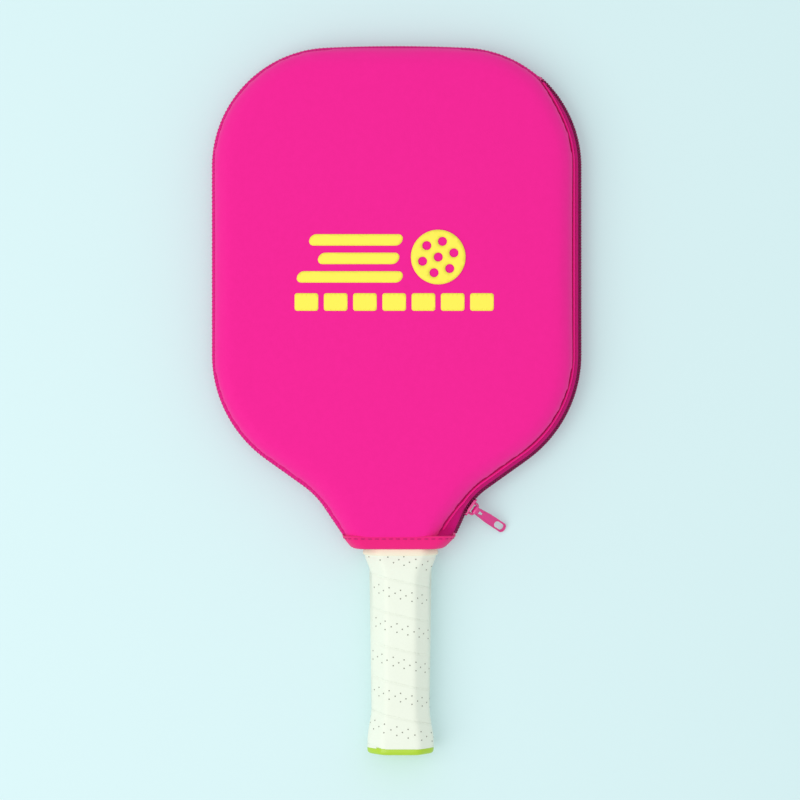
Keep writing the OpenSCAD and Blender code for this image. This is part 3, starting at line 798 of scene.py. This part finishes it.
# ---------------------------------------------------------------------------
# Coils: nylon monofilament wound into teeth over a cord and sewn along each tape's edge. The two mesh
# half a tooth apart above the slider and part below it.
# ---------------------------------------------------------------------------
nylon = grained("nylon_coil", (0.30, 0.004, 0.10), (0.12, 0.001, 0.04), 0.45, 3000, 200,
                tones=(0.3, 0.3), bump=0.15, depth=0.05 * MM, specular=0.25)
stop_room = 3.4 * MM
tooth_pitch = 1.6 * MM
for word, node, first, lower in (("front", "zip_coil_front", 0.0, False),
                                 ("back", "zip_coil_back", 0.5, True)):
    sign = -1 if lower else 1
    places = np.arange(stop_room + first * tooth_pitch, along(zip_path)[-1], tooth_pitch)
    rows = spaced(zip_path, tooth_pitch, places[0])
    lifts = 0.72 * MM + coil_lift * np.interp(places, along(zip_path), zip_open)
    # One wound tooth, as places along the chain, out of the case and up
    wound = [(0.35 * MM, -0.75 * MM, -0.3 * MM * sign), (0.3 * MM, 0.35 * MM, -0.62 * MM * sign),
             (0.1 * MM, 0.92 * MM, -0.25 * MM * sign), (-0.1 * MM, 0.92 * MM, 0.2 * MM * sign),
             (-0.3 * MM, 0.3 * MM, 0.5 * MM * sign), (-0.35 * MM, -0.8 * MM, 0.45 * MM * sign)]
    tooth = bent_rod(word + "_tooth", wound, 0.4 * MM, sides=6, ends=0.8)
    seeds = [(x - 0.55 * MM * nx, y - 0.55 * MM * ny, mid_z + sign * lift,
              0, 0, math.atan2(ny, nx) - math.pi / 2)
             for (x, y, nx, ny), lift in zip(rows, lifts)]
    teeth = instances_on(word + "_coil_teeth", seeds, tooth, nylon)
    row = spaced(zip_path, 1.2 * MM, stop_room - 0.8 * MM)
    core_lift = 0.75 * MM + coil_lift * np.interp(along(row) + stop_room, along(zip_path), zip_open)
    cord_sections = [ring_section(1.0 * MM, mid_z + sign * lift, 0.55 * MM, 0.45 * MM, 8)
                     for lift in core_lift]
    cord = swept(word + "_coil_cord", row, cord_sections, nylon)
    for made in (teeth, cord):
        if lower:
            keep_rest(made)
            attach(made, "root")
        else:
            follow_front(made)
    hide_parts(node)

# ---------------------------------------------------------------------------
# Zip stops: crimped metal clips, one on the lower end of each coil and one across both at the top.
# ---------------------------------------------------------------------------
enamel = grained("pink_enamel", (0.74, 0.012, 0.24), (0.56, 0.006, 0.16), 0.28, 900, 60,
                 tones=(0.15, 0.15), bump=0.06, depth=0.05 * MM, coat=0.6, specular=0.6)


def soften(made, radius, steps=3):
    """Rounds the edges of a moulded piece and bakes the result."""
    bevel = made.modifiers.new("edges", "BEVEL")
    bevel.width = radius
    bevel.segments = steps
    bevel.limit_method = "ANGLE"
    bevel.angle_limit = math.radians(35)
    bevel.use_clamp_overlap = True
    finish_modifiers(made)
    flat = made.modifiers.new("shading", "WEIGHTED_NORMAL")
    flat.keep_sharp = True
    finish_modifiers(made)


def block(name, low, high, finish):
    corners = [(x, y, z) for x in (low[0], high[0]) for y in (low[1], high[1]) for z in (low[2], high[2])]
    faces = [(0, 1, 3, 2), (4, 6, 7, 5), (0, 4, 5, 1), (2, 3, 7, 6), (0, 2, 6, 4), (1, 5, 7, 3)]
    return piece(name, corners, faces, finish)


def placed(made, matrix):
    """Writes a place into the mesh itself, so that the object stays at the origin."""
    made.data.transform(matrix)
    outward_faces(made)
    made.data.update()


def chain_frame(row, height, depth=0.0):
    """Matrix whose x runs along the chain, y out of the case and z up."""
    x, y, nx, ny = row
    along_x, along_y = -ny, nx
    return Matrix(((along_x, nx, 0, x - depth * nx), (along_y, ny, 0, y - depth * ny),
                   (0, 0, 1, height), (0, 0, 0, 1)))


foot_row = spaced(zip_path, 1 * MM, 1.9 * MM)[0]
end_row = zip_path[-1]
for word, sign in (("front", 1), ("back", -1)):
    clip = block(word + "_coil_clip", (-1.3 * MM, -1.1 * MM, -0.85 * MM),
                 (1.3 * MM, 1.1 * MM, 0.85 * MM), enamel)
    soften(clip, 0.35 * MM)
    placed(clip, chain_frame(foot_row, mid_z + sign * (0.85 * MM + 0.9 * coil_lift), 0.8 * MM))
    if sign > 0:
        follow_front(clip)
    else:
        keep_rest(clip)
        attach(clip, "root")
    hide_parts("zip_top_stop_" + word)
bridge = block("end_clip", (-1.2 * MM, -1.3 * MM, -1.7 * MM), (1.2 * MM, 1.1 * MM, 1.7 * MM), enamel)
soften(bridge, 0.4 * MM)
placed(bridge, chain_frame(end_row, mid_z, 0.8 * MM))
keep_rest(bridge)
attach(bridge, "root")
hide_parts("zip_bottom_stop")

# ---------------------------------------------------------------------------
# Slider: two die-cast wings with turned-in guides, joined by a wedge that parts the coils. An arched
# bail on its outer wing holds the pull tab. All of it is pink enamelled.
# ---------------------------------------------------------------------------
slider_turn = math.radians(slider_angle)
slider_row = (*hollow_foot[slider_station, :2], math.cos(slider_turn), math.sin(slider_turn))
slider_place = chain_frame(slider_row, mid_z, 0.75 * MM)
bar_out = 5.2 * MM


def filled(name, outlines, finish):
    """Flat mesh inside the first outline and outside the others."""
    work = bmesh.new()
    edges = []
    for outline in outlines:
        ring = [work.verts.new((x, y, 0)) for x, y in outline]
        edges += [work.edges.new((ring[i], ring[(i + 1) % len(ring)])) for i in range(len(ring))]
    bmesh.ops.triangle_fill(work, use_beauty=True, use_dissolve=False, edges=edges)
    bmesh.ops.recalc_face_normals(work, faces=work.faces)
    made = piece(name, [], [], finish)
    work.to_mesh(made.data)
    work.free()
    return made


def plate(name, outlines, thickness, finish, rounding):
    """Flat casting of even thickness about its own middle plane, with rounded edges."""
    made = filled(name, outlines, finish)
    body = made.modifiers.new("body", "SOLIDIFY")
    body.thickness = thickness
    body.offset = 0
    finish_modifiers(made)
    soften(made, rounding, 2)
    return made


def gathered(name, parts, matrix, finish):
    """One object from several castings, put in place by a matrix; the castings themselves go."""
    work = bmesh.new()
    for part in parts:
        work.from_mesh(part.data)
        bpy.data.objects.remove(part)
    made = piece(name, [], [], finish)
    work.to_mesh(made.data)
    work.free()
    made.data.shade_smooth()
    placed(made, matrix)
    return made


def tapered(half_length, wide, narrow, corner):
    """Wing outline: broad where the coils part and narrow where they leave together."""
    points = []
    for cx, cy, first in ((half_length - corner, narrow - corner, 0),
                          (-half_length + corner, wide - corner, 90),
                          (-half_length + corner, corner - wide, 180),
                          (half_length - corner, corner - narrow, 270)):
        for angle in np.radians(np.linspace(first, first + 90, 6)):
            points.append((cx + corner * math.cos(angle), cy + corner * math.sin(angle)))
    return points


slider_parts = []
for out in (-1.8 * MM, 2.2 * MM):
    wing = plate("wing", [tapered(5.5 * MM, 3.3 * MM, 2.6 * MM, 1.4 * MM)], 1.0 * MM, enamel, 0.3 * MM)
    wing.data.transform(Matrix.Translation((0, out, 0)) @ Matrix.Rotation(math.radians(90), 4, "X"))
    slider_parts.append(wing)
for up in (-1, 1):
    for out in (-1.1 * MM, 1.5 * MM):
        guide = block("guide", (-2.6 * MM, out - 0.35 * MM, up * 2.75 * MM - 0.3 * MM),
                      (4.6 * MM, out + 0.35 * MM, up * 2.75 * MM + 0.3 * MM), enamel)
        soften(guide, 0.15 * MM, 2)
        slider_parts.append(guide)
wedge = block("wedge", (-5.2 * MM, -1.8 * MM, -0.45 * MM), (-3.4 * MM, 2.2 * MM, 0.45 * MM), enamel)
soften(wedge, 0.2 * MM, 2)
slider_parts.append(wedge)
slider = gathered("slider_body", slider_parts, slider_place, enamel)
arch_points = []
for u, v in ((-3.2, 2.3), (-3.2, 3.6)):
    arch_points.append((u * MM, v * MM, 0))
for angle in np.radians(np.linspace(180, 90, 5)):
    arch_points.append(((-2.2 + math.cos(angle)) * MM, (4.2 + math.sin(angle)) * MM, 0))
arch_points += [(-x, y, z) for x, y, z in arch_points[::-1]]
bail = bent_rod("slider_bail", arch_points, 0.72 * MM, sides=12, ends=1.0)
bail.data.materials[0] = enamel
placed(bail, slider_place)
for made, node in ((slider, "zip_slider"), (bail, "zip_bail")):
    keep_rest(made)
    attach(made, "slider")
    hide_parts(node)

# ---------------------------------------------------------------------------
# Pull tab: a die-cast strip with a raised rim, a knuckle that turns on the bail, an eye behind it and
# a long oval hole at the free end. It hangs out sideways and droops towards the table.
# ---------------------------------------------------------------------------
tab_droop = 30
tab_length = 24 * MM
tab_half = 2.9 * MM


def tab_outline(inset):
    """Waisted outline from the knuckle to the round free end."""
    half, end = tab_half - inset, tab_length - inset
    points = [(-2.2 * MM + 0.6 * inset, 0.6 * MM + inset), (2.2 * MM - 0.6 * inset, 0.6 * MM + inset),
              (2.5 * MM - inset, 5.0 * MM), (half, 10 * MM)]
    for angle in np.radians(np.linspace(0, 180, 17)):
        points.append((half * math.cos(angle), end - half * 0.8 + half * 0.8 * math.sin(angle)))
    return points + [(-half, 10 * MM), (inset - 2.5 * MM, 5.0 * MM)]


def long_hole(half_wide, low, high):
    """Outline of a round-ended slot along the tab."""
    points = []
    for end, first in ((high, 0), (low, 180)):
        for angle in np.radians(np.linspace(first, first + 180, 12)):
            points.append((half_wide * math.cos(angle), end + half_wide * math.sin(angle)))
    return points


eye = [(-0.95 * MM, 2.6 * MM), (0.95 * MM, 2.6 * MM), (0.5 * MM, 5.6 * MM), (-0.5 * MM, 5.6 * MM)]
hole_low, hole_high = tab_length - 6.6 * MM, tab_length - 3.2 * MM
web = plate("web", [tab_outline(0.2 * MM), long_hole(1.9 * MM, hole_low, hole_high), eye],
            0.95 * MM, enamel, 0.15 * MM)
rim = plate("rim", [tab_outline(0), tab_outline(0.75 * MM)], 1.5 * MM, enamel, 0.3 * MM)
hole_rim = plate("hole_rim", [long_hole(2.4 * MM, hole_low, hole_high),
                              long_hole(1.85 * MM, hole_low, hole_high)], 1.4 * MM, enamel, 0.25 * MM)
eye_bar = block("eye_bar", (-1.9 * MM, 5.7 * MM, -0.7 * MM), (1.9 * MM, 6.7 * MM, 0.7 * MM), enamel)
soften(eye_bar, 0.25 * MM, 2)
knuckle = plate("knuckle", [circle(0, 0, 1.7 * MM, 28), circle(0, 0, 0.85 * MM, 20)],
                4.4 * MM, enamel, 0.25 * MM)
knuckle.data.transform(Matrix.Rotation(math.radians(90), 4, "Y"))
droop = Matrix.Rotation(math.radians(-tab_droop), 4, "X")
tab_place = slider_place @ Matrix.Translation((0, bar_out, 0)) @ droop
tab = gathered("pull_tab_casting", [web, rim, hole_rim, eye_bar, knuckle], tab_place, enamel)
keep_rest(tab)
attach(tab, "tab")
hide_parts("pull_tab")

# ---------------------------------------------------------------------------
# Paddle blade: a honeycomb core between two textured composite sheets, in a moulded edge guard. Its
# handle has a foam pallet on each side. These keep the solid pieces and take only their finishes.
# ---------------------------------------------------------------------------
comb = grained("honeycomb_core", (0.80, 0.78, 0.70), (0.45, 0.43, 0.37), 0.7, 500, 160, tones=(0.5, 0.5),
               bump=0.5, depth=0.3 * MM, from_rest=False)
foam = grained("foam_pallet", (0.62, 0.50, 0.34), (0.44, 0.34, 0.22), 0.8, 1800, 300, tones=(0.4, 0.3),
               bump=0.4, depth=0.2 * MM, from_rest=False)
guard_rubber = grained("edge_guard", (0.035, 0.035, 0.04), (0.015, 0.015, 0.018), 0.45, 1400, 60,
                       tones=(0.4, 0.3), bump=0.25, depth=0.08 * MM, from_rest=False)
face_sheet = grained("face_sheet", (0.84, 0.87, 0.81), (0.70, 0.75, 0.68), 0.42, 3200, 30, tones=(0.3, 0.2),
                     bump=0.6, depth=0.06 * MM, from_rest=False, specular=0.5)


def face_graphic():
    """Two slanting bands of colour across the face sheets, printed under the texture."""
    tree = face_sheet.node_tree
    shader = tree.nodes["Principled BSDF"]
    plain = next(link.from_socket for link in tree.links if link.to_socket == shader.inputs["Base Color"])
    place = add(tree, "ShaderNodeTexCoord").outputs["Object"]
    split = add(tree, "ShaderNodeSeparateXYZ")
    lean = add(tree, "ShaderNodeMath", operation="MULTIPLY_ADD")
    lean.inputs[1].default_value = 0.45
    tree.links.new(place, split.inputs[0])
    tree.links.new(split.outputs["X"], lean.inputs[0])
    tree.links.new(split.outputs["Y"], lean.inputs[2])
    bands = add(tree, "ShaderNodeValToRGB")
    ramp = bands.color_ramp
    ramp.interpolation = "CONSTANT"
    shift = add(tree, "ShaderNodeMapRange")
    shift.inputs["From Min"].default_value = -0.1
    shift.inputs["From Max"].default_value = 0.1
    tree.links.new(lean.outputs[0], shift.inputs["Value"])
    tree.links.new(shift.outputs[0], bands.inputs["Fac"])
    ramp.elements[0].color = (0, 0, 0, 1)
    ramp.elements[1].position = 0.40
    ramp.elements[1].color = (1, 1, 1, 1)
    for spot, value in ((0.52, 0.0), (0.56, 1.0), (0.60, 0.0)):
        ramp.elements.new(spot).color = (value, value, value, 1)
    mix = add(tree, "ShaderNodeMix", data_type="RGBA")
    mix.inputs[7].default_value = (0.38, 0.62, 0.03, 1)
    tree.links.new(bands.outputs["Color"], mix.inputs["Factor"])
    tree.links.new(plain, mix.inputs[6])
    tree.links.new(mix.outputs[2], shader.inputs["Base Color"])


face_graphic()
for names, finish in ((("paddle_core",), comb), (("paddle_face_front", "paddle_face_back"), face_sheet),
                      (("edge_guard",), guard_rubber), (("handle_pallet_front", "handle_pallet_back"), foam)):
    for name in names:
        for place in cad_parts[name].material_slots:
            place.material = finish

# ---------------------------------------------------------------------------
# Grip: a cushioned strip of perforated synthetic leather wound in a spiral down the eight-sided
# handle, each turn lapping the one before. It flares over the throat and again at the butt.
# ---------------------------------------------------------------------------
leather = grained("grip_leather", (0.87, 0.92, 0.79), (0.70, 0.74, 0.60), 0.5, 900, 45, tones=(0.22, 0.25),
                  bump=0.35, depth=0.12 * MM, sheen=0.1, specular=0.45)
grip_x = (grip_low[0] + grip_high[0]) / 2
wrap_pitch = 19.5 * MM
wrap_start = -147.2 * MM
wrap_end = grip_low[1]
# Half-width, half-thickness and place along the handle
grip_rings = np.array([(20.8, 11.4, -147.0), (19.8, 12.0, -150.4), (17.9, 12.5, -155), (16.75, 12.75, -160),
                       (16.5, 12.7, -170), (16.5, 12.7, -232), (16.9, 12.8, -240), (18.0, 13.1, -246),
                       (18.8, 13.4, -252), (19.0, 13.5, -257.4)]) * MM

facet_cut = 8.2 * MM


def grip_shape(y, angle):
    """Point on the handle at a place and an angle round it: an octagon with soft corners."""
    half_x, half_z = (np.interp(-y, -grip_rings[:, 2], grip_rings[:, c]) for c in (0, 1))
    c, s = math.cos(angle), math.sin(angle)
    sharpness = 22
    planes = (abs(c) / half_x, abs(s) / half_z, (abs(c) + abs(s)) / (half_x + half_z - facet_cut))
    reach = sum(p**sharpness for p in planes) ** (-1 / sharpness)
    return reach * c, reach * s


def lap(y, angle):
    """Height of the strip's lap: it rises to its edge and drops to the next turn."""
    phase = ((wrap_start - y) + wrap_pitch * angle / (2 * math.pi)) / wrap_pitch % 1
    if phase < 0.06:
        return -0.5 * MM * (1 - phase / 0.06)
    return 0.12 * MM * math.sin(math.pi * min(1, (phase - 0.06) / 0.94)) ** 0.5


def grip_point(y, angle, lift=0.0):
    x, z = grip_shape(y, angle)
    size = math.hypot(x, z)
    grow = 1 + (lap(y, angle) + lift) / size
    return grip_x + x * grow, y, min(max(mid_z + z * grow, 0.02 * MM), 2 * mid_z - 0.02 * MM)


around, rows_down = 144, 300
ring_ys = np.linspace(grip_rings[0, 2], wrap_end, rows_down)
ring_angles = np.linspace(0, 2 * math.pi, around, endpoint=False)
grip_verts = [grip_point(y, a) for y in ring_ys for a in ring_angles]
for y, shrink in ((wrap_end, 0.86), (grip_rings[0, 2], 0.86)):
    grip_verts += [(grip_x + (x - grip_x) * shrink, y, mid_z + (z - mid_z) * shrink)
                   for x, _, z in (grip_point(y, a) for a in ring_angles)]
total = rows_down + 2
grip_faces = [(i * around + j, i * around + (j + 1) % around, (i + 1) % total * around + (j + 1) % around,
               (i + 1) % total * around + j) for i in range(total) for j in range(around)]
grip = piece("grip_wrap_strip", grip_verts, grip_faces, leather)
outward_faces(grip)
keep_rest(grip)
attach(grip, "root")
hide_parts("grip_wrap")

# Punched holes: three staggered rows along the middle of the strip, each a thin dark disc laid on the
# surface, its colour painted shade standing in for the hollow of the hole.
painted_hole_shade = grained("punched_hole_painted_shade", (0.30, 0.31, 0.25), (0.16, 0.17, 0.13), 0.8, 2000, 100)
hole_seeds = []
hole_pitch = 6.9 * MM
perimeter = 92 * MM
turns = (wrap_start - wrap_end) / wrap_pitch
for lane in range(3):
    count = int(turns * perimeter / hole_pitch)
    for step in range(-6, count):
        wound = (step + 0.5 * (lane % 2)) * hole_pitch / perimeter
        angle = -2 * math.pi * wound
        y = wrap_start - wrap_pitch * (wound + 0.4) + (lane - 1) * 2.4 * MM
        if not -256 * MM < y < -147.8 * MM:
            continue
        here, ahead = np.array(grip_point(y, angle)), np.array(grip_point(y, angle + 0.02))
        along_y = np.array(grip_point(y - 0.5 * MM, angle)) - here
        normal = np.cross(along_y, ahead - here)
        normal /= np.linalg.norm(normal)
        if np.dot(normal, here - (grip_x, here[1], mid_z)) < 0:
            normal = -normal
        turned = Vector(normal).to_track_quat("Z", "Y").to_euler("XYZ")
        spot = here + normal * 0.02 * MM
        hole_seeds.append((*spot, *turned))
# The disc's dark colour is painted shade, not the leather's own colour.
dimple = plate("dimple", [circle(0, 0, 0.42 * MM, 10)], 0.12 * MM, painted_hole_shade, 0.03 * MM)
holes = instances_on("grip_holes", hole_seeds, dimple, painted_hole_shade)
keep_rest(holes)
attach(holes, "root")

# ---------------------------------------------------------------------------
# Collar: a thin stretch band rolled over the top of the wrap, just below the hem.
# Butt cap: a moulded lime cap that the wrap's end is tucked against.
# ---------------------------------------------------------------------------
peach = grained("collar_band", (0.90, 0.86, 0.68), (0.84, 0.70, 0.50), 0.6, 1400, 60, tones=(0.25, 0.2),
                bump=0.2, depth=0.06 * MM, specular=0.4)
lime = grained("butt_cap", (0.45, 0.68, 0.02), (0.30, 0.50, 0.01), 0.35, 1200, 50, tones=(0.15, 0.15),
               bump=0.1, depth=0.05 * MM, coat=0.3)


def turned_shell(name, profile, finish):
    """Closed shape round the handle from (share of the handle's size, place) rings."""
    verts, faces = [], []
    for size, y in profile:
        for a in ring_angles[::2]:
            x, z = grip_shape(max(min(y, grip_rings[0, 2]), wrap_end), a)
            verts.append((grip_x + x * size, y, min(max(mid_z + z * size, 0.02 * MM), 2 * mid_z - 0.02 * MM)))
    m = len(ring_angles[::2])
    for i in range(len(profile) - 1):
        for j in range(m):
            faces.append((i * m + j, i * m + (j + 1) % m, (i + 1) * m + (j + 1) % m, (i + 1) * m + j))
    faces += [list(range(m)), [(len(profile) - 1) * m + j for j in range(m)][::-1]]
    made = piece(name, verts, faces, finish)
    outward_faces(made)
    keep_rest(made)
    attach(made, "root")
    return made


collar = turned_shell("collar_sleeve", [(0.80, -139 * MM), (0.90, -139.1 * MM), (0.97, -141 * MM),
                                        (1.01, -144 * MM), (1.035, -145.8 * MM), (1.04, -147.0 * MM),
                                        (1.03, -147.6 * MM), (1.0, -147.9 * MM), (0.86, -148 * MM)], peach)
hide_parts("collar_band")
cap = turned_shell("lime_butt_cap", [(0.9, wrap_end + 1 * MM), (0.985, wrap_end + 0.6 * MM),
                                     (1.0, wrap_end - 0.2 * MM), (1.004, wrap_end - 1.6 * MM),
                                     (0.99, wrap_end - 2.7 * MM), (0.955, wrap_end - 3.3 * MM),
                                     (0.90, butt_low[1])], lime)
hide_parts("butt_cap")

# ---------------------------------------------------------------------------
# Floor and light: a plain pale aqua sheet under a large soft light from the left and another from
# overhead, with even light from all round.
# ---------------------------------------------------------------------------
paper, paper_tree, paper_shader = new_material("aqua_paper", 0.9, specular=0.1)
paper_shader.inputs["Base Color"].default_value = (0.545, 0.70, 0.705, 1)
paper_shader.inputs["Emission Color"].default_value = (0.68, 0.86, 0.87, 1)
paper_shader.inputs["Emission Strength"].default_value = 0.19
floor = piece("paper_floor", [(-3, -3, 0), (3, -3, 0), (3, 3, 0), (-3, 3, 0)], [(0, 1, 2, 3)],
              paper, smooth=False)
world = bpy.data.worlds.new("studio")
world.use_nodes = True
scene.world = world
backdrop = world.node_tree.nodes["Background"]
backdrop.inputs["Color"].default_value = (0.95, 0.98, 1.0, 1)
backdrop.inputs["Strength"].default_value = 0.75


def soft_light(name, place, size, watts, tint):
    data = bpy.data.lights.new(name, "AREA")
    data.shape = "SQUARE"
    data.size = size
    data.energy = watts
    data.color = tint
    made = bpy.data.objects.new(name, data)
    made.location = place
    aim = Vector((0, -0.05, 0)) - made.location
    made.rotation_euler = aim.to_track_quat("-Z", "Y").to_euler()
    scene.collection.objects.link(made)


soft_light("key_left", (-0.85, -0.35, 1.25), 1.3, 8.5, (1.0, 0.99, 0.98))
soft_light("fill_top", (-0.1, 0.1, 2.2), 1.8, 5.5, (0.98, 0.99, 1.0))
